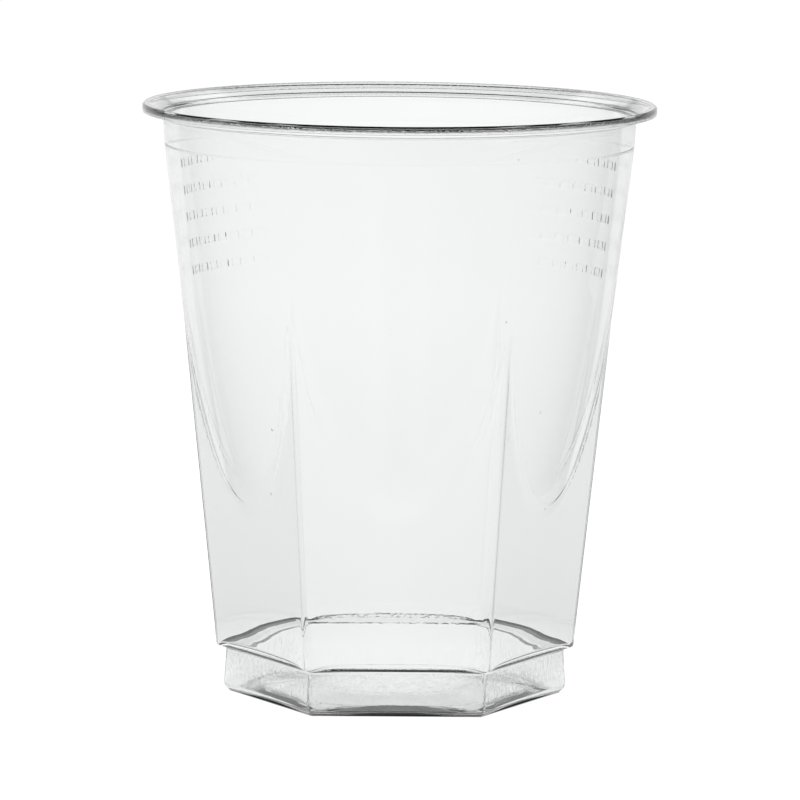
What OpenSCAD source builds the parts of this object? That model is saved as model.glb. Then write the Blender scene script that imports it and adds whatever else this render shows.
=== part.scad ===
// Clear disposable tumbler, drawn as one thin moulded shell.
// A round, flaring upper wall runs down into a six-sided lower body, and the body stands on a
// narrower six-sided foot with a raised base. The lip is a narrow hook turned outward and down.
// The origin is the centre of the circle that the foot stands on, Z is the cup's axis, sizes in mm.

/* [Cup] */
// Outer diameter over the lip
rim_d = 78; // [76:0.5:84]
// Overall height, from the table to the crest of the lip
cup_h = 90.3; // [84:0.1:98]
// Thickness of the moulded wall
wall_t = 0.4; // [0.3:0.05:0.5]

/* [Lip] */
// Radial reach of the lip, from its inner crease to its outer side
lip_w = 2.9; // [2.4:0.1:3.4]
// Height of the crest over the inner crease
lip_rise = 1.45; // [1.2:0.05:1.8]
// Height of the turned-down outer side
lip_h = 1.3; // [1.1:0.05:1.8]
// Thickness of the lip, which keeps more of the sheet than the wall does
lip_t = 0.5; // [0.4:0.05:0.6]
// Rounding of the lip's outer top edge
lip_round = 0.6; // [0.5:0.05:0.8]

/* [Round wall] */
// Depth of the flared neck, from the crest down to its crease
neck_h = 6.1; // [4:0.1:10]
// How far the neck's crease lies inside the lip's outer side
neck_in = 3.35; // [3.2:0.05:3.8]
// Lean of the wall under the neck, in degrees from upright
wall_lean = 6.7; // [6:0.05:7.6]
// Height at which the round wall starts to draw in
draw_h = 60; // [56:0.5:64]
// Slope of the wall where it starts to draw in, in degrees from upright
draw_slope = 7.8; // [6:0.1:10]
// Radius of the curve on which it draws in
draw_r = 164; // [140:1:200]

/* [Six-sided body] */
// How far its corners lie inside the round wall, at the height where that starts to draw in
corner_in = 0.05; // [0:0.05:0.3]
// Lean of each flat, in degrees from upright
body_lean = 5.16; // [4.9:0.02:5.3]
// Rounding of each upright corner, on the body and on the foot
corner_round = 1.1; // [0.8:0.1:1.6]
// Rounding of the body's lower edge
ledge_round = 0.7; // [0.6:0.05:1]

/* [Foot] */
// Height of the foot, up to the ledge
foot_h = 6.4; // [5:0.1:8]
// Width of the ledge, from the body's flats in to the foot's
ledge_w = 1.15; // [0.8:0.05:1.6]
// Inward lean of the foot's sides, in degrees from upright
foot_lean = 2.3; // [1:0.1:4]
// Rounding of the foot's bottom edge
foot_round = 1.2; // [0.9:0.05:1.5]
// Height of each side's low arch, which leaves six pads to stand on
arch_h = 0.25; // [0.15:0.05:0.35]
// Width of those pads, measured along a side
pad_w = 6.4; // [4:0.2:10]
// Width of the ring around the raised base
ring_w = 2.3; // [2.1:0.1:3]
// Height of the raised base over the table
base_rise = 1.8; // [1.3:0.1:2.5]
// Rounding of each corner of the raised base
base_round = 6; // [3:0.5:9]

/* [Hidden] */

clear_plastic = [0.93, 0.95, 0.96, 0.35];
sides = 6;
side_turn = 360 / sides;
// From the centre, a corner is this many times further out than a flat.
corner_ratio = 1 / cos(side_turn / 2);
// Facets that a full circle of the round wall gets where it is drawn as a mesh
round_facets = 180;
arch_facets = 720;
// Steps along the curve that draws the wall in, along a rounded edge, and around each kind of corner
draw_steps = 7;
edge_steps = 4;
corner_steps = 2;
base_steps = 6;
// The curve that draws the round wall in starts at this share of draw_h, well inside the flats.
draw_low_share = 0.37;
// The underside of the ledge meets its rounded edge at this angle.
ledge_turn = -75;
// How far a cutting form runs past the surface that it cuts
past = 1;

rim_r = rim_d / 2;
crease_z = cup_h - lip_rise;
crease_r = rim_r - lip_w;
neck_z = cup_h - neck_h;
neck_r = rim_r - neck_in;
draw_top_r = neck_r - (neck_z - draw_h) * tan(wall_lean);

function unit(v) = v / norm(v);

// The point where the line from p along u meets the line from q along v
function meet(p, u, q, v) = p + u * cross(q - p, v) / cross(u, v);

// Points of an arc about a centre, from one angle to another
function arc(centre, r, from, to, steps) =
  [for (i = [0:steps]) let (a = from + (to - from) * i / steps) centre + r * [cos(a), sin(a)]];

// A line's unit normal, on its left
function left_of(a, b) = [a[1] - b[1], b[0] - a[0]] / norm(b - a);
// The line through a row of points, moved to its left by t with its corners kept sharp
function moved_left(points, t) =
  let (last = len(points) - 1)
  [for (i = [0:last])
    let (
      before = left_of(points[max(i - 1, 0)], points[max(i, 1)]),
      after = left_of(points[min(i, last - 1)], points[min(i + 1, last)])
    )
    points[i] + t * (before + after) / (1 + before * after)
  ];

// Outer line of the round wall, from inside the six-sided body up to the neck's crease
draw_low_z = draw_h * draw_low_share;
draw_end = asin(sin(draw_slope) + (draw_h - draw_low_z) / draw_r);
draw_centre = [draw_top_r, draw_h] + draw_r * [-cos(draw_slope), sin(draw_slope)];
round_line = concat(
  arc(draw_centre, draw_r, -draw_end, -draw_slope, draw_steps),
  [[neck_r, neck_z]]
);

// The neck leans out from its crease to the lip's crease.
neck_side = unit([crease_r, crease_z] - [neck_r - wall_t, neck_z]);
neck_out = [neck_side[1], -neck_side[0]];

// The lip's top rises from the crease and is tangent to the rounding of its outer edge.
edge_centre = [rim_r - lip_round, cup_h - lip_round];
crease_to_edge = edge_centre - [crease_r, crease_z];
lip_slope = atan2(crease_to_edge[1], crease_to_edge[0]) + asin(lip_round / norm(crease_to_edge));
lip_under = [sin(lip_slope), -cos(lip_slope)] * lip_t;
skirt_z = cup_h - lip_h;

// The neck's outer side runs up into the lip's underside, which falls from inside the hook.
neck_low = [neck_r, neck_z];
neck_along = [crease_r, crease_z] + wall_t * neck_out - neck_low;
hook_top = [rim_r - lip_t, skirt_z + lip_t];
hook_along = [crease_r, crease_z] + lip_under - hook_top;
neck_top = meet(neck_low, neck_along, hook_top, hook_along);

// The six-sided outline by height, as the distance of a flat from the axis. The flats run out
// through the round wall and end inside it, halfway from draw_h to the neck's crease.
ledge_top_z = foot_h + 2 * ledge_round;
body_top_z = (draw_h + neck_z) / 2;
body_draw_a = (draw_top_r - corner_in - corner_round) / corner_ratio + corner_round;
body_low_a = body_draw_a - (draw_h - ledge_top_z) * tan(body_lean);
body_top_a = body_draw_a + (body_top_z - draw_h) * tan(body_lean);
foot_top_a = body_low_a - ledge_w;
foot_low_a = foot_top_a + (foot_h - foot_round) * tan(foot_lean);
flat_line = concat(
  arc([foot_low_a - foot_round, foot_round], foot_round, -90, 0, edge_steps),
  [[foot_top_a, foot_h]],
  arc([body_low_a - ledge_round, ledge_top_z], ledge_round, ledge_turn, 0, edge_steps),
  [[body_top_a, body_top_z]]
);

base_a = foot_low_a - ring_w;
foot_side = 2 * foot_low_a * tan(side_turn / 2);
arch_w = foot_side - pad_w;
arch_r = arch_w * arch_w / (8 * arch_h);

// Outline of a six-sided ring with round corners, anticlockwise from a corner on the X axis
function six_sided_ring(flat_a, corner_r, steps) =
  [for (i = [0:sides - 1])
    let (turn = side_turn * i)
    for (p = arc(
      (flat_a - corner_r) * corner_ratio * [cos(turn), sin(turn)],
      corner_r, turn - side_turn / 2, turn + side_turn / 2, steps
    )) p
  ];

// A six-sided solid whose flats follow a line of distances and heights
module six_sided(line, corner_r) {
  rings = [for (p = line) six_sided_ring(p[0], corner_r, corner_steps)];
  count = len(rings[0]);
  top = len(line) - 1;
  polyhedron(
    points = [for (k = [0:top]) for (p = rings[k]) [p[0], p[1], line[k][1]]],
    faces = concat(
      [[for (i = [0:count - 1]) i]],
      [for (k = [0:top - 1]) for (i = [0:count - 1])
        let (next = (i + 1) % count)
        [k * count + i, (k + 1) * count + i, (k + 1) * count + next, k * count + next]],
      [[for (i = [0:count - 1]) top * count + count - 1 - i]]
    )
  );
}

// The space under the raised base, grown by a thickness
module base_hollow(grow) {
  translate([0, 0, -past])
    linear_extrude(height = past + base_rise + grow)
      polygon(six_sided_ring(base_a + grow, base_round + grow, base_steps));
}

// The low arches under the flats of the foot, grown by a thickness
module foot_arches(grow) {
  for (i = [0:sides - 1])
    rotate([90, 0, side_turn * i])
      translate([0, 0, -rim_r])
        linear_extrude(height = rim_r - base_a)
          intersection() {
            translate([0, arch_h - arch_r])
              circle(r = arch_r + grow, $fn = arch_facets);
            translate([-arch_w / 2 - past, -past])
              square([arch_w + 2 * past, 2 * past + grow]);
          }
}

// Everything that the outer skin encloses
module outer_form() {
  difference() {
    six_sided(flat_line, corner_round);
    foot_arches(0);
    base_hollow(0);
  }
  rotate_extrude($fn = round_facets)
    polygon(concat(
      [[0, round_line[0][1]]],
      round_line,
      [neck_top],
      [hook_top],
      [[rim_r - lip_t, skirt_z]],
      [[rim_r, skirt_z]],
      arc(edge_centre, lip_round, 0, 90, edge_steps),
      [[0, cup_h]]
    ));
}

// The space inside the cup, open at the top
module inner_form() {
  inner_round = moved_left(round_line, wall_t);
  inner_flats = moved_left(flat_line, wall_t);
  difference() {
    six_sided(inner_flats, corner_round - wall_t);
    foot_arches(wall_t);
    base_hollow(wall_t);
  }
  rotate_extrude($fn = round_facets)
    polygon(concat(
      [[0, inner_round[0][1]]],
      inner_round,
      [[crease_r, crease_z]],
      arc(edge_centre, lip_round, 90 + lip_slope, 90, edge_steps),
      [[edge_centre[0], cup_h + past], [0, cup_h + past]]
    ));
}

// The whole cup: one shell, drawn down from one sheet
module cup() {
  color(clear_plastic)
    difference() {
      outer_form();
      inner_form();
    }
}

cup();
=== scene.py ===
# %% [markdown]
# # A clear disposable tumbler
# This notebook dresses the imported model of a clear plastic tumbler: a round flaring upper wall that
# runs down into a six-sided body, on a narrower six-sided foot. Blender works in metres, in the
# same frame as the imported model: the origin is under the middle of the foot and Z is the cup's axis.

# %% The frame
import math

import bpy
import numpy as np
from mathutils import Matrix


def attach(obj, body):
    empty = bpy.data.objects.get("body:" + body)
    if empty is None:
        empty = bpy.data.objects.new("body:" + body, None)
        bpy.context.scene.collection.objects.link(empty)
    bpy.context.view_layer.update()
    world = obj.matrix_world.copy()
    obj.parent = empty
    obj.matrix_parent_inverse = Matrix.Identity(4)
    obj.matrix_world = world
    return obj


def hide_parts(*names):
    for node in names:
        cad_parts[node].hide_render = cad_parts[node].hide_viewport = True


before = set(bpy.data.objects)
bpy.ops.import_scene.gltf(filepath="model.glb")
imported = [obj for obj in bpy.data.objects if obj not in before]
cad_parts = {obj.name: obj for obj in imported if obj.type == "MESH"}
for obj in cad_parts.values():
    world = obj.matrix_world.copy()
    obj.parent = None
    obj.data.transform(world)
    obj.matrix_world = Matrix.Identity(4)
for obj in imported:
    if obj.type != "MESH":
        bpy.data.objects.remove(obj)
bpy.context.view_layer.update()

MM = 0.001
print("packed nodes:", sorted(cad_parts))

# %% [markdown]
# ## The camera
# A long lens stands about a metre away and looks down by a few degrees, so the mouth shows as a
# narrow ellipse and the upright edges stay nearly parallel. The cup is turned a little on its axis
# and the horizon leans by half a degree. A camera's own axes can be given as the columns of its
# matrix, which says all of this with no rotation angles to untangle.

# %% Camera
FRAME_PX = 800
FOCAL_PX = 6701
SENSOR_MM = 36
CAMERA_AWAY = 1021.1 * MM
LOOK_DOWN = math.radians(7.624)
LEAN = math.radians(0.5217)
CUP_TURN = math.radians(0.802)
AIM_HEIGHT = 44.95 * MM
AIM_RIGHT = 0.43 * MM


def make_camera():
    right = np.array([math.cos(CUP_TURN), -math.sin(CUP_TURN), 0])
    level = np.array([math.sin(CUP_TURN), math.cos(CUP_TURN), 0])
    ahead = math.cos(LOOK_DOWN) * level + np.array([0, 0, -math.sin(LOOK_DOWN)])
    up = np.cross(right, ahead)
    place = right * AIM_RIGHT + np.array([0, 0, AIM_HEIGHT]) - ahead * CAMERA_AWAY
    leaning_right = math.cos(LEAN) * right + math.sin(LEAN) * up
    leaning_up = math.cos(LEAN) * up - math.sin(LEAN) * right
    camera = bpy.data.objects.new("camera", bpy.data.cameras.new("camera"))
    bpy.context.scene.collection.objects.link(camera)
    camera.data.sensor_width = SENSOR_MM
    camera.data.lens = FOCAL_PX / FRAME_PX * SENSOR_MM
    camera.data.clip_end = 20
    matrix = np.eye(4)
    matrix[:3, :4] = np.column_stack([leaning_right, leaning_up, -ahead, place])
    camera.matrix_world = Matrix(matrix.tolist())
    bpy.context.scene.camera = camera
    return camera


camera = make_camera()
print("lens:", round(camera.data.lens, 1), "mm")
print("camera over the floor:", round(camera.matrix_world.translation.z, 3), "m")

# %% [markdown]
# ## Nodes
# Every material below is a handful of nodes. One small helper adds a node, sets what it is given
# and links its inputs, so that each material reads as a list of what feeds what. A node that is
# given as an input is linked by its first output. Colours are written as screen colours and turned
# into linear light in one place.

# %% Helpers for nodes


def add(tree, kind, inputs=None, **settings):
    node = tree.nodes.new("ShaderNode" + kind)
    for name, value in settings.items():
        setattr(node, name, value)
    for name, value in (inputs or {}).items():
        if isinstance(value, bpy.types.Node):
            value = value.outputs[0]
        if isinstance(value, bpy.types.NodeSocket):
            tree.links.new(value, node.inputs[name])
        else:
            node.inputs[name].default_value = value
    return node


def linear(hex_colour):
    parts = [int(hex_colour[i : i + 2], 16) / 255 for i in (1, 3, 5)]
    return tuple(c / 12.92 if c <= 0.04045 else ((c + 0.055) / 1.055) ** 2.4 for c in parts) + (1,)


def empty_tree(owner):
    owner.use_nodes = True
    owner.node_tree.nodes.clear()
    return owner.node_tree


def band(tree, value, low, high, soft):
    """1 while a value lies between two bounds, falling to 0 over a soft edge outside them."""
    rise = add(tree, "MapRange", {"Value": value, "From Min": low - soft, "From Max": low})
    fall = add(tree, "MapRange", {"Value": value, "From Min": high + soft, "From Max": high})
    return add(tree, "Math", {0: rise, 1: fall}, operation="MULTIPLY")


def off_flats(tree, axes):
    """Distance from the axis as a six-sided outline measures it, with two flats across Y."""
    x, y = (add(tree, "Math", {0: axes.outputs[name]}, operation="ABSOLUTE") for name in "XY")
    half_y = add(tree, "Math", {0: y, 1: 0.5}, operation="MULTIPLY")
    slanted = add(tree, "Math", {0: x, 1: math.sqrt(0.75), 2: half_y}, operation="MULTIPLY_ADD")
    return add(tree, "Math", {0: y, 1: slanted}, operation="MAXIMUM")


def aside(tree, axes):
    """Angle to either side of the direction straight behind the cup."""
    turn = add(tree, "Math", {0: axes.outputs["X"], 1: axes.outputs["Y"]}, operation="ARCTAN2")
    return add(tree, "Math", {0: turn}, operation="ABSOLUTE")


print("linear value of a mid grey:", round(linear("#808080")[0], 3))

# %% [markdown]
# ## The studio
# Clear plastic has no colour of its own: all that the eye gets is what it bends and what it
# reflects. Products like this are shot in a bright field, in front of a lit white sweep, and the
# rest of the room stays dim. The wall then shows as a faint grey where it reflects the dim room,
# and as a dark line wherever a thick edge bends the view away from the white. The sweep is
# brightest straight behind the cup and fades toward its sides. Two white cards hang over it, left
# and right of the middle. They clear the ends of the lip, while the dark ceiling draws its lines.

# %% The lit sweep
SWEEP_HALF_ANGLE = math.radians(44.6)
SWEEP_TOP = 0.3
SOFT_EDGE = 0.04
SIDE_FADE = 0.45
CARD_SIDES = (0.29, 0.6)
CARD_ENDS = (0.34, 0.66)
DIM_ROOM, CEILING = 0.31, 0.05
ROOM_LIGHT = 0.75


def on_sweep(tree, vector):
    """Light of the sweep in a direction or at a place: 1 straight behind, less aside, 0 past its edge."""
    axes = add(tree, "SeparateXYZ", {0: vector})
    turn = aside(tree, axes)
    outer, inner = SWEEP_HALF_ANGLE + SOFT_EDGE, SWEEP_HALF_ANGLE - SOFT_EDGE
    inside = add(tree, "MapRange", {"Value": turn, "From Min": outer, "From Max": inner})
    fade = add(tree, "Math", {0: turn, 1: -SIDE_FADE, 2: 1.0}, operation="MULTIPLY_ADD")
    return add(tree, "Math", {0: inside, 1: fade}, operation="MULTIPLY"), axes


def make_world():
    world = bpy.data.worlds.new("studio")
    bpy.context.scene.world = world
    tree = empty_tree(world)
    path = add(tree, "LightPath")
    behind, axes = on_sweep(tree, add(tree, "TexCoord").outputs["Generated"])
    height = axes.outputs["Z"]
    top_edge = {"From Min": SWEEP_TOP + SOFT_EDGE, "From Max": SWEEP_TOP - SOFT_EDGE}
    low = add(tree, "MapRange", {"Value": height, **top_edge})
    sweep = add(tree, "Math", {0: behind, 1: low}, operation="MULTIPLY")
    across = band(tree, aside(tree, axes), CARD_SIDES[0], CARD_SIDES[1], SOFT_EDGE)
    upright = band(tree, height, CARD_ENDS[0], CARD_ENDS[1], SOFT_EDGE)
    cards = add(tree, "Math", {0: across, 1: upright}, operation="MULTIPLY")
    white = add(tree, "Math", {0: sweep, 1: cards}, operation="MAXIMUM")
    to_ceiling = {"From Min": SWEEP_TOP, "From Max": CARD_ENDS[1], "To Min": DIM_ROOM, "To Max": CEILING}
    dim = add(tree, "MapRange", {"Value": height, **to_ceiling})
    seen = add(tree, "Mix", {"Factor": white, "A": dim, "B": 1.0})
    glass_rays = {0: path.outputs["Is Glossy Ray"], 1: path.outputs["Is Transmission Ray"]}
    by_glass = add(tree, "Math", glass_rays, operation="MAXIMUM")
    room = add(tree, "Mix", {"Factor": by_glass, "A": ROOM_LIGHT, "B": seen})
    shown = add(tree, "Mix", {"Factor": path.outputs["Is Camera Ray"], "A": room, "B": 1.0})
    light = add(tree, "Background", {"Color": linear("#FFFFFF"), "Strength": shown})
    add(tree, "OutputWorld", {"Surface": light})
    return world


print("world nodes:", len(make_world().node_tree.nodes))

# %% [markdown]
# ## The floor
# The floor is the near part of the same white sweep. Its own glow stands for the light that the
# sweep gets, and its matt part takes the cup's soft shadow. What the plastic shows of it carries
# painted shade and light: painted shade makes it a bit darker near the cup and brighter further
# back, a painted dark ring lies under the foot's ring, and painted light makes it brighter under
# the base. It is dim in front and at the sides, where the room is dark, but lit close round the cup.
# Hardly any light gets under the foot, so there the glow and the matt colour are painted nearly
# black: a painted shadow that leaves a thin dark line under its low arches.

# %% Floor
FLOOR_SIDE = 12
FLOOR_GAP = 0.02 * MM
SHOWN_WHITE = 0.9
# painted shade: the floor seen through the plastic is darker near the cup than further back
NEAR_SHADED_WHITE, FAR_WHITE = 0.80, 0.90
WHITE_SPAN = (60 * MM, 500 * MM)
LIT_ROUND = (46 * MM, 72 * MM)
DIM_LEFT, DIM_RIGHT = 0.50, 0.25
DIM_SPAN = 300 * MM
# painted light: the floor seen through the plastic glows brighter under the base
BASE_PAINTED_LIGHT, BASE_LIGHT_EDGE = 0.16, (18 * MM, 21 * MM)
# painted shade: a darker ring of floor under the foot's ring, as seen through the plastic
RING_PAINTED_SHADE, RING_SHADE_EDGES = 0.35, (20.5 * MM, 22.3 * MM)
# painted shadow: the floor's glow for the camera and its matt colour go nearly black under the foot
FOOT_PAINTED_SHADOW, FOOT_SHADOW_EDGE = 0.02, (21.7 * MM, 22.2 * MM)
MATT_WHITE = 0.13


def make_floor():
    half = FLOOR_SIDE / 2
    corners = [(-half, -half, 0), (half, -half, 0), (half, half, 0), (-half, half, 0)]
    mesh = bpy.data.meshes.new("floor")
    mesh.from_pydata(corners, [], [(0, 1, 2, 3)])
    floor = bpy.data.objects.new("floor", mesh)
    bpy.context.scene.collection.objects.link(floor)
    floor.location.z = -FLOOR_GAP
    return floor


def white_acrylic_sweep():
    material = bpy.data.materials.new("white_acrylic_sweep")
    tree = empty_tree(material)
    path = add(tree, "LightPath")
    place = add(tree, "NewGeometry").outputs["Position"]
    behind, axes = on_sweep(tree, place)
    away = add(tree, "VectorMath", {0: place}, operation="LENGTH").outputs["Value"]
    under = off_flats(tree, axes)
    near = add(tree, "MapRange", {"Value": away, "From Min": LIT_ROUND[1], "From Max": LIT_ROUND[0]})
    lit = add(tree, "Math", {0: behind, 1: near}, operation="MAXIMUM")
    # painted shade: the floor's glow is lower near the cup and rises further back
    backward = {"From Min": WHITE_SPAN[0], "From Max": WHITE_SPAN[1]}
    white = add(tree, "MapRange", {"Value": away, **backward, "To Min": NEAR_SHADED_WHITE, "To Max": FAR_WHITE})
    # painted light: extra glow on the floor under the base, as seen through the plastic
    inward = {"From Min": BASE_LIGHT_EDGE[1], "From Max": BASE_LIGHT_EDGE[0]}
    base = add(tree, "MapRange", {"Value": away, **inward, "To Min": 0.0, "To Max": BASE_PAINTED_LIGHT})
    white = add(tree, "Math", {0: white, 1: base}, operation="ADD")
    rightward = {"From Min": -DIM_SPAN, "From Max": DIM_SPAN, "To Min": DIM_LEFT, "To Max": DIM_RIGHT}
    dim = add(tree, "MapRange", {"Value": axes.outputs["X"], **rightward})
    # painted shade: the floor under the foot's ring is dimmed as seen through the plastic
    ring_shade_mask = band(tree, away, RING_SHADE_EDGES[0], RING_SHADE_EDGES[1], 0.5 * MM)
    ring = add(tree, "Mix", {"Factor": ring_shade_mask, "A": 1.0, "B": RING_PAINTED_SHADE})
    white = add(tree, "Math", {0: white, 1: ring}, operation="MULTIPLY")
    by_plastic = add(tree, "Mix", {"Factor": lit, "A": dim, "B": white})
    # painted shadow under the foot: camera glow and matt colour fall nearly to black inside its outline
    foot_shadow_span = {"Value": under, "From Min": FOOT_SHADOW_EDGE[0], "From Max": FOOT_SHADOW_EDGE[1]}
    shown = add(tree, "MapRange", {**foot_shadow_span, "To Min": FOOT_PAINTED_SHADOW, "To Max": SHOWN_WHITE})
    tone = add(tree, "Mix", {"Factor": path.outputs["Is Camera Ray"], "A": by_plastic, "B": shown})
    glow = add(tree, "Emission", {"Strength": tone})
    matt_tone = add(tree, "MapRange", {**foot_shadow_span, "To Min": 0.0, "To Max": MATT_WHITE})
    matt = add(tree, "BsdfDiffuse", {"Color": matt_tone})
    both = add(tree, "AddShader", {0: glow, 1: matt})
    add(tree, "OutputMaterial", {"Surface": both})
    return material


floor = make_floor()
floor.data.materials.append(white_acrylic_sweep())
print("floor:", FLOOR_SIDE, "m square at", round(floor.location.z / MM, 3), "mm")
print("nodes of its finish:", len(floor.data.materials[0].node_tree.nodes))

# %% [markdown]
# ## The lamps
# Two large soft boxes stand in front at both sides, over the cup. They light the matt floor and
# soften the shadow. The plastic itself doesn't mirror them, as the photo has no hard highlights.

# %% Lamps


def add_lamp(name, place, size, power):
    lamp = bpy.data.objects.new(name, bpy.data.lights.new(name, "AREA"))
    bpy.context.scene.collection.objects.link(lamp)
    lamp.data.size = size
    lamp.data.energy = power
    lamp.location = place
    lamp.rotation_euler = (-lamp.location).to_track_quat("-Z", "Y").to_euler()
    lamp.visible_glossy = lamp.visible_transmission = False
    return lamp


lamps = [
    add_lamp("soft_box_left", (-0.9, -0.5, 1.3), 0.8, 14),
    add_lamp("soft_box_right", (1.0, -0.3, 1.2), 0.9, 9),
]
print("lamps:", [(lamp.name, lamp.data.energy) for lamp in lamps])

# %% [markdown]
# ## The cup's outline
# The cup is drawn down from one sheet, so it is one thin shell. A lathe alone can't make it, since
# the lower half has six flats, and a boolean would leave broken shading along the scallops. So the
# skin is laid out as a grid: columns go round the axis, rows go down the outside, and each row is
# a rounded hexagon, a circle, or a soft blend of the two. The columns crowd at the six corners.

# %% Sizes in mm
WALL = 0.4
RIM_R = 39.0
CUP_H = 90.3
NECK_R, NECK_Z = 35.65, 84.2
DRAW_R, DRAW_Z = 32.8, 60.0
SIDES = 6
HALF_SIDE = math.pi / SIDES
CORNER_RATIO = 1 / math.cos(HALF_SIDE)
CORNER_ROUND = 0.9
BODY_A, BODY_Z = 23.79, 7.8
BODY_SLOPE = math.tan(math.radians(5.16))


def column_angles():
    """Angles round the axis, closer together at each corner of the six-sided part."""
    near = np.linspace(0, math.radians(3), 7)[:-1]
    wide = np.linspace(math.radians(3), HALF_SIDE, 19)
    half = np.concatenate([near, wide])
    side = np.concatenate([-half[:0:-1], half[:-1]])
    return np.concatenate([side + 2 * HALF_SIDE * i for i in range(SIDES)])


TURN = column_angles()
OFF_CORNER = (TURN + HALF_SIDE) % (2 * HALF_SIDE) - HALF_SIDE
print("columns:", len(TURN), "closest:", round(float(np.degrees(np.diff(TURN)).min()), 2), "degrees")

# %% [markdown]
# ## Rows of the body
# Where the round wall reaches further out than the flats, it shows; where the flats do, they show.
# The larger of the two distances, with its crease rounded over a tenth of a millimetre or so, gives
# the six U-shaped scallops of the real cup without any cutting.

# %% Hexagon, circle and their blend


def hexagon(apothem, rounding):
    """Distance from the axis at each column, for a six-sided outline with round corners."""
    reach = (apothem - rounding) * CORNER_RATIO
    tangent = math.atan2(rounding * math.sin(HALF_SIDE), reach + rounding * math.cos(HALF_SIDE))
    off = np.abs(OFF_CORNER)
    corner = reach * np.cos(off) + np.sqrt(np.maximum(rounding**2 - (reach * np.sin(off)) ** 2, 0))
    return np.where(off < tangent, corner, apothem / np.cos(HALF_SIDE - off))


def soft_max(a, b, crease):
    return (a + b) / 2 + np.sqrt((a - b) ** 2 + crease**2) / 2


def round_wall(z):
    """Radius of the round wall and its slope at a height: straight above, drawn in below."""
    slope = (NECK_R - DRAW_R) / (NECK_Z - DRAW_Z)
    if z >= DRAW_Z:
        return DRAW_R + slope * (z - DRAW_Z), slope
    d = DRAW_Z - z
    return DRAW_R - 0.1366 * d - 0.003 * d * d, 0.1366 + 0.006 * d


def body_row(z, wall=0.0):
    """Outline of the body at a height, moved in by the wall's thickness for the inner skin."""
    r, slope = round_wall(z)
    r -= wall * math.hypot(1, slope)
    apothem = BODY_A + BODY_SLOPE * (z - BODY_Z) - wall * math.hypot(1, BODY_SLOPE)
    flats = hexagon(apothem, CORNER_ROUND - wall) - 0.012 * max(z - 58, 0) ** 2
    crease = 0.12 + 0.1 * np.clip((z - 36) / 8, 0, 1)
    return soft_max(r, flats, crease * np.clip((64 - z) / 20, 0.3, 1))


middle = int(np.argmax(np.abs(OFF_CORNER)))
scallop = max(z for z in np.arange(15, 60, 0.1) if round_wall(z)[0] < BODY_A + BODY_SLOPE * (z - BODY_Z))
print("each scallop ends", round(float(scallop), 1), "mm over the floor, where a flat is",
      round(float(body_row(scallop)[middle]), 2), "mm from the axis")

# %% [markdown]
# ## The lip
# The lip is a thin hook: a top that slopes up from two small creases, a round outer edge, and a
# short skirt turned down. Its dark lines come from its shape alone. The edge is solid, so the view
# into it is lost inside the plastic, while the parallel faces of the top and the skirt let the
# white through. Each line is given by its corners, and a helper turns each corner into an arc.

# %% Lip


def filleted(points, steps):
    """A line through (x, z, fillet radius) corners, with each corner turned into an arc."""
    out = [np.array(points[0][:2], float)]
    for before, corner, after in zip(points, points[1:], points[2:]):
        p, a, b = (np.array(v[:2], float) for v in (corner, before, after))
        u, v = (a - p) / np.linalg.norm(a - p), (b - p) / np.linalg.norm(b - p)
        half = math.acos(np.clip(u @ v, -1, 1)) / 2
        if corner[2] <= 0 or half > math.radians(89):
            out.append(p)
            continue
        back = corner[2] / math.tan(half)
        centre = p + (u + v) / np.linalg.norm(u + v) * corner[2] / math.sin(half)
        start, end = p + u * back - centre, p + v * back - centre
        swing = math.pi - 2 * half
        for i in range(steps + 1):
            t = i / steps
            spoke = math.sin((1 - t) * swing) * start + math.sin(t * swing) * end
            out.append(centre + spoke / math.sin(swing))
    out.append(np.array(points[-1][:2], float))
    return out


def spread(line, longest):
    """The same line, with points added so that no stretch is longer than this."""
    out = [line[0]]
    for a, b in zip(line, line[1:]):
        n = max(1, math.ceil(np.linalg.norm(b - a) / longest))
        out += [a + (b - a) * i / n for i in range(1, n + 1)]
    return out


def lip_lines():
    """Outer line from the lip's top over its edge to the neck, and inner line from there down."""
    top = (37.036, 89.542, 0)
    outer = filleted([
        top, (37.937, 90.167, 0.24), (38.701, CUP_H, 0.128), (RIM_R, 90.012, 0.151),
        (RIM_R, 89.013, 0.08), (38.755, 89.013, 0.08), (38.755, 89.638, 0.144),
        (36.763, 88.481, 0.385), (35.896, 88.161, 0.209), (NECK_R, NECK_Z, 0),
    ], 5)
    inner = filleted([
        top, (36.134, 88.916, 0.06), (35.957, 88.691, 0.001), (35.35, 88.405, 0.05),
        (NECK_R - WALL, NECK_Z, 0),
    ], 3)
    return spread(outer, 1.0), spread(inner, 1.0)


print("points over the lip:", [len(line) for line in lip_lines()])

# %% [markdown]
# ## The foot and its raised base
# The ledge between body and foot keeps more plastic than the flats, so its corner is drawn thicker
# and shows as a dark line. A low arch under each flat leaves six pads to stand on, and the ledge
# is bowed up a little too. Inside the foot's ring the base rises to a shallow, nearly round dome.

# %% Foot and base
ARCH_HALF, ARCH_H, ARCH_REACH = 10.0, 0.27, 4.0
LEDGE_Z, LEDGE_REACH = 7.2, 2.2
LEDGE_BOW, CORNER_DROP, LEDGE_HALF = 0.38, 1.0, 12.8
FOOT_LOW_A = 22.78
BASE_ROUND, BASE_MIDDLE = 16.0, 1.15
BASE_A, BASE_Z = 13.0, 1.38


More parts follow.
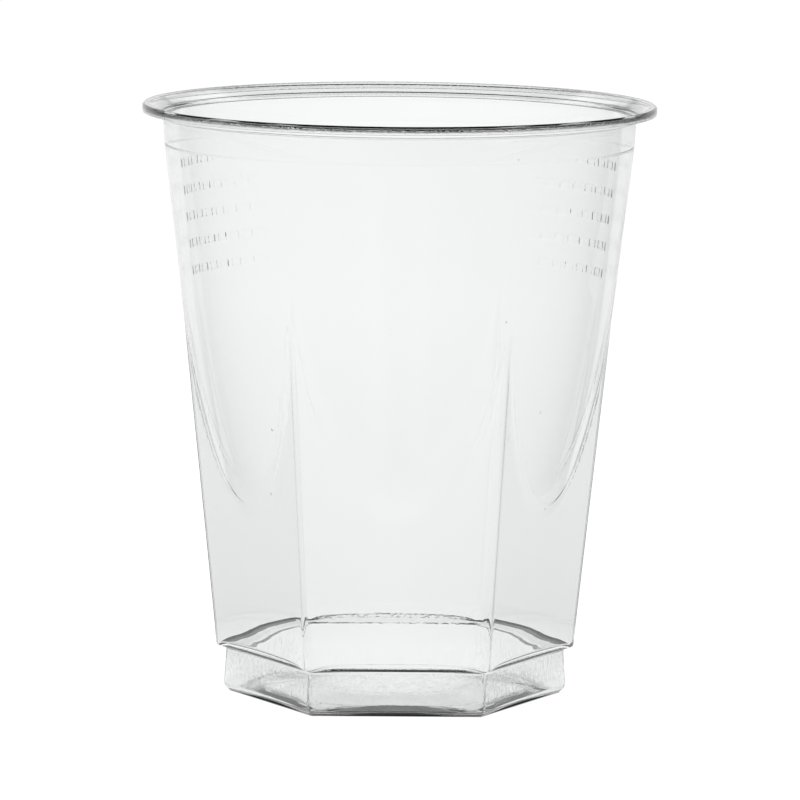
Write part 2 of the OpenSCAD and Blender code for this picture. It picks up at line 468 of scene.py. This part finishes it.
def lift(radius, a, z):
    """How far the low arches and the bowed ledge lift or lower a row's points along each side."""
    along = radius * np.sin(OFF_CORNER - np.sign(OFF_CORNER) * HALF_SIDE)
    low = np.clip(1 - z / ARCH_REACH, 0, 1) ** 1.5 * np.clip((radius - 14) / 5, 0, 1)
    arch = ARCH_H * np.clip(1 - (along / ARCH_HALF) ** 2, 0, 1) * low
    to_corner = np.clip(np.abs(along) / LEDGE_HALF, 0, 1)
    on_ledge = np.clip((a - 22.5) / 1.1, 0, 1) if z > 5.5 else 0
    drop = CORNER_DROP * (0.4 * to_corner**2 + 0.6 * to_corner**10) * on_ledge
    return arch + (LEDGE_BOW - drop) * np.exp(-(((z - LEDGE_Z) / LEDGE_REACH) ** 2))


def foot_rows(inner):
    """Rows of (distance of the flat, corner rounding, height), from the ledge down to the base."""
    w = WALL if inner else 0
    if inner:
        side = [
            (BODY_A + BODY_SLOPE * 2.6 - w, BODY_Z + 2.6, 0), (23.55, 8.72, 0.3),
            (23.483, 7.26, 0.508), (22.127, 6.6, 0.05), (22.455, 0.32, 0.54),
            (20.843, 0.32, 0.649), (19.2, 1.08, 0.388), (BASE_A, BASE_Z + w, 0),
        ]
    else:
        side = [
            (BODY_A + BODY_SLOPE * 2, BODY_Z + 2, 0), (BODY_A, 7.82, 0.472), (22.459, 6.23, 0.487),
            (FOOT_LOW_A, 0, 1.215), (20.269, 0, 0.251), (18.744, 0.48, 0.257), (BASE_A, BASE_Z, 0),
        ]
    rows = []
    for a, z in spread(filleted(side, 5), 1.0)[1:]:
        share = np.clip((FOOT_LOW_A - 1.2 - a) / 2.0, 0, 1) if z < 2.6 else 0
        rows.append((a, (CORNER_ROUND - w) * (1 - share) + min(BASE_ROUND, 0.7 * a) * share, z))
    for a in (11, 9.5, 8, 6.5, 5, 3, 1.5):
        rounding = a * (0.7 + 0.3 * min((BASE_A - a) / 6, 1))
        rows.append((a, rounding, BASE_MIDDLE + w + (BASE_Z - BASE_MIDDLE) * (a / BASE_A) ** 2))
    return rows


print("rows of the foot, outside and inside:", len(foot_rows(False)), len(foot_rows(True)))

# %% [markdown]
# ## The shell
# The outer and inner skins share the ring on the lip's top, so the mesh is closed and the ray
# tracer meets a real wall with air on both sides. Normals point out of the plastic everywhere.

# %% Shell


def to_points(radius, z):
    z = np.broadcast_to(z, radius.shape)
    return np.column_stack([radius * np.cos(TURN), radius * np.sin(TURN), z])


def skin(inner):
    round_part = [to_points(np.full(len(TURN), r), z) for r, z in lip_lines()[1 if inner else 0]]
    heights = np.concatenate([
        [NECK_Z - 0.12], np.arange(NECK_Z - 0.9, 63.0, -1.8), np.arange(62.4, 20.0, -0.85),
        np.arange(19.0, 12.0, -1.7), [10.8],
    ])
    body = [to_points(body_row(z, WALL if inner else 0.0), z) for z in heights]
    foot = []
    for a, rounding, z in foot_rows(inner):
        radius = hexagon(a, rounding)
        foot.append(to_points(radius, z + lift(radius, a, z)))
    return round_part + body + foot


def make_shell():
    outer, inner = skin(False), skin(True)[1:]
    n, first, last = len(TURN), len(outer), len(outer) + len(inner) - 1
    points = np.concatenate(outer + inner + [np.array([[0, 0, BASE_MIDDLE], [0, 0, BASE_MIDDLE + WALL]])])
    low, high = len(points) - 2, len(points) - 1
    pairs = [(k + 1, k) for k in range(first - 1)] + [(0, first)] + [(k, k + 1) for k in range(first, last)]
    faces = []
    for i in range(n):
        j = (i + 1) % n
        faces += [(a * n + j, b * n + j, b * n + i, a * n + i) for a, b in pairs]
        faces += [((first - 1) * n + j, (first - 1) * n + i, low), (last * n + i, last * n + j, high)]
    mesh = bpy.data.meshes.new("cup_shell")
    mesh.from_pydata((points * MM).tolist(), [], faces)
    mesh.shade_smooth()
    mesh.validate()
    mesh.update()
    shell = bpy.data.objects.new("cup_shell", mesh)
    bpy.context.scene.collection.objects.link(shell)
    return shell


def turned_faces(mesh):
    """Edges that two faces run along the same way, which a closed mesh with outward normals has none of."""
    runs = [(f.vertices[k - 1], f.vertices[k]) for f in mesh.polygons for k in range(len(f.vertices))]
    return len(runs) - len(set(runs))


cup_shell = make_shell()
print("edges run along the same way twice:", turned_faces(cup_shell.data))
triangles = sum(len(face.vertices) - 2 for face in cup_shell.data.polygons)
print("cup shell:", len(cup_shell.data.vertices), "points,", triangles, "triangles")

# %% [markdown]
# ## The plastic
# Cups like this are thermoformed from clear polystyrene sheet: water-clear, glossy and a bit denser
# to light than glass. The sheet's skin isn't perfect. It is slightly wavy all over, the mould
# leaves a fine grain on the foot and on the lip's skirt, dust leaves a few pits, and the far wall
# has rows of small raised marks, drawn here as plain dashes. The foot's four slanted sides are
# smoother than its front and back. All of it is relief, made by bumping the surface with patterns
# in real millimetres, since clear plastic shows a mark only by bending light at its slopes.

# %% Relief
WAVES = (9, 9, 14)
SKIRT_GRAIN = (0.35, 0.35, 0.25)
FOOT_GRAIN = (0.7, 0.7, 1.0)
LEDGE_GRAIN = (0.9, 0.9, 0.6)
DASH_GRAIN = (1.2, 1.2, 1.0)
SLANTED_GRAIN = 0.45
PATCH_EDGES = (0.47, 0.56)
DASH_TURNS = (math.radians(38), math.radians(74))
DASH_HEIGHTS = (61.5 * MM, 82 * MM)
DASH_STEP, DASH_EDGES = math.radians(2.6), (0.010, 0.017)
ROW_STEP, ROW_EDGES = 2.05 * MM, (1.35 * MM, 1.6 * MM)
RIDGE_TOP, RIDGE_EDGE = (0.02 * MM, 0.06 * MM), 0.06 * MM
PIT_CELL, PIT_EDGES = 6 * MM, (0.032, 0.014)


def grain(tree, place, size_mm, detail=2.0):
    """Noise with a grain given in millimetres along X, Y and Z."""
    per_metre = tuple(1 / (s * MM) for s in size_mm)
    scaled = add(tree, "VectorMath", {0: place, 1: per_metre}, operation="MULTIPLY")
    return add(tree, "TexNoise", {"Vector": scaled, "Scale": 1.0, "Detail": detail}).outputs["Fac"]


def patches(tree, place, size_mm, detail):
    """Grain drawn out into small raised patches with steep edges."""
    noise = grain(tree, place, size_mm, detail)
    return add(tree, "MapRange", {"Value": noise, "From Min": PATCH_EDGES[0], "From Max": PATCH_EDGES[1]})


def raised_dashes(tree, axes):
    """Five rows of short plain dashes on both sides of the far wall."""
    turn, height = aside(tree, axes), axes.outputs["Z"]
    part = band(tree, turn, DASH_TURNS[0], DASH_TURNS[1], 0.01)
    tall = band(tree, height, DASH_HEIGHTS[0], DASH_HEIGHTS[1], 0.1 * MM)
    across = add(tree, "Math", {0: turn, 1: DASH_STEP}, operation="PINGPONG")
    dash = add(tree, "MapRange", {"Value": across, "From Min": DASH_EDGES[0], "From Max": DASH_EDGES[1]})
    up = add(tree, "Math", {0: height, 1: ROW_STEP}, operation="PINGPONG")
    row = add(tree, "MapRange", {"Value": up, "From Min": ROW_EDGES[0], "From Max": ROW_EDGES[1]})
    marks = add(tree, "Math", {0: dash, 1: row}, operation="MULTIPLY")
    where = add(tree, "Math", {0: part, 1: tall}, operation="MULTIPLY")
    return add(tree, "Math", {0: marks, 1: where}, operation="MULTIPLY")


def scallop_edges(tree, axes):
    """A fine ridge along each U, where the mould's rounding starts on the flat."""
    height, low_a = axes.outputs["Z"], (BODY_A - BODY_SLOPE * BODY_Z) * MM
    flat = add(tree, "Math", {0: height, 1: BODY_SLOPE, 2: low_a}, operation="MULTIPLY_ADD")
    over = add(tree, "Math", {0: off_flats(tree, axes), 1: flat}, operation="SUBTRACT")
    low = add(tree, "MapRange", {"Value": height, "From Min": 58 * MM, "From Max": 50 * MM})
    ridge = band(tree, over, RIDGE_TOP[0], RIDGE_TOP[1], RIDGE_EDGE)
    return add(tree, "Math", {0: ridge, 1: low}, operation="MULTIPLY")


def dust_pits(tree, place):
    """A few pits, each about a quarter of a millimetre wide, in one in five cells of 6 mm."""
    cells = add(tree, "TexVoronoi", {"Vector": place, "Scale": 1 / PIT_CELL})
    draw = add(tree, "SeparateColor", {0: cells.outputs["Color"]})
    chosen = add(tree, "MapRange", {"Value": draw, "From Min": 0.80, "From Max": 0.81})
    off = cells.outputs["Distance"]
    pit = add(tree, "MapRange", {"Value": off, "From Min": PIT_EDGES[0], "From Max": PIT_EDGES[1]})
    return add(tree, "Math", {0: pit, 1: chosen}, operation="MULTIPLY")


print("the widest pattern repeats every", max(WAVES), "mm, the finest every", min(SKIRT_GRAIN), "mm")

# %% [markdown]
# Each pattern shows only where its band lets it: the skirt of the lip, the foot's sides, the ledge
# at the back, or the ring at the neck. The patterns are then laid over one another, each as a bump
# with its depth in millimetres, and each one starts from the normal that the last one left.

# %% Layers of relief


def relief(tree):
    place = add(tree, "TexCoord").outputs["Object"]
    axes = add(tree, "SeparateXYZ", {0: place})
    x, y, z = (axes.outputs[name] for name in "XYZ")
    flat = add(tree, "VectorMath", {0: place, 1: (1, 1, 0)}, operation="MULTIPLY")
    radius = add(tree, "VectorMath", {0: flat}, operation="LENGTH").outputs["Value"]
    off_middle = add(tree, "Math", {0: x}, operation="ABSOLUTE")
    to_slanted = {"From Min": 12.5 * MM, "From Max": 14 * MM, "To Min": 1.0, "To Max": SLANTED_GRAIN}
    patterns = [
        (0.06, grain(tree, place, SKIRT_GRAIN), band(tree, z, 88.9 * MM, 89.75 * MM, 0.15 * MM),
         band(tree, radius, 38.3 * MM, 40 * MM, 0.1 * MM)),
        (0.018, patches(tree, place, FOOT_GRAIN, 4.0), band(tree, z, 2.6 * MM, 6.0 * MM, 1 * MM),
         add(tree, "MapRange", {"Value": off_middle, **to_slanted})),
        (0.035, patches(tree, place, LEDGE_GRAIN, 3.0), band(tree, z, 6.9 * MM, 8.6 * MM, 0.3 * MM),
         band(tree, y, 18 * MM, 40 * MM, 1 * MM), band(tree, x, -12.5 * MM, 12.5 * MM, 1 * MM)),
        (0.07, raised_dashes(tree, axes), grain(tree, place, DASH_GRAIN, 3.0)),
        (0.024, band(tree, z, 84.15 * MM, 84.25 * MM, 0.12 * MM)),
        (0.013, scallop_edges(tree, axes)),
        (0.05, dust_pits(tree, place)),
    ]
    waves = {"Height": grain(tree, place, WAVES, 0.0), "Distance": 0.012 * MM, "Strength": 1.0}
    normal = add(tree, "Bump", waves)
    for depth_mm, height, *limits in patterns:
        for limit in limits:
            height = add(tree, "Math", {0: height, 1: limit}, operation="MULTIPLY")
        layer = {"Height": height, "Distance": depth_mm * MM, "Strength": 1.0, "Normal": normal}
        normal = add(tree, "Bump", layer)
    return normal


# %% [markdown]
# The finish itself is one shader: index 1.59, no roughness, and a body colour a shade off white,
# which gives the eye the faint cool grey of thick edges. Where the floor asks how much light gets
# through, a thin plain filter answers, as the bright ring under a real clear cup is soft and faint.

# %% Polystyrene


def clear_polystyrene():
    """Water-clear glossy plastic with a wavy skin: sharp dark lines at edges, light faces between."""
    material = bpy.data.materials.new("clear_polystyrene")
    tree = empty_tree(material)
    plastic = add(tree, "BsdfPrincipled", {
        "Base Color": linear("#FDFEFE"), "Roughness": 0.0, "IOR": 1.59, "Transmission Weight": 1.0,
        "Normal": relief(tree),
    })
    path = add(tree, "LightPath")
    through = add(tree, "BsdfTransparent", {"Color": linear("#F7F7F7")})
    shadow_ray = path.outputs["Is Shadow Ray"]
    shadowed = add(tree, "MixShader", {0: shadow_ray, 1: plastic, 2: through})
    add(tree, "OutputMaterial", {"Surface": shadowed})
    return material


cup_shell.data.materials.append(clear_polystyrene())
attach(cup_shell, "root")
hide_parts("cup")
finish = cup_shell.data.materials[0]
print("material:", finish.name, "with", len(finish.node_tree.nodes), "nodes")

# %% [markdown]
# ## The view
# The standard view transform keeps the white of the sweep white.

# %% Finish
bpy.context.scene.view_settings.view_transform = "Standard"
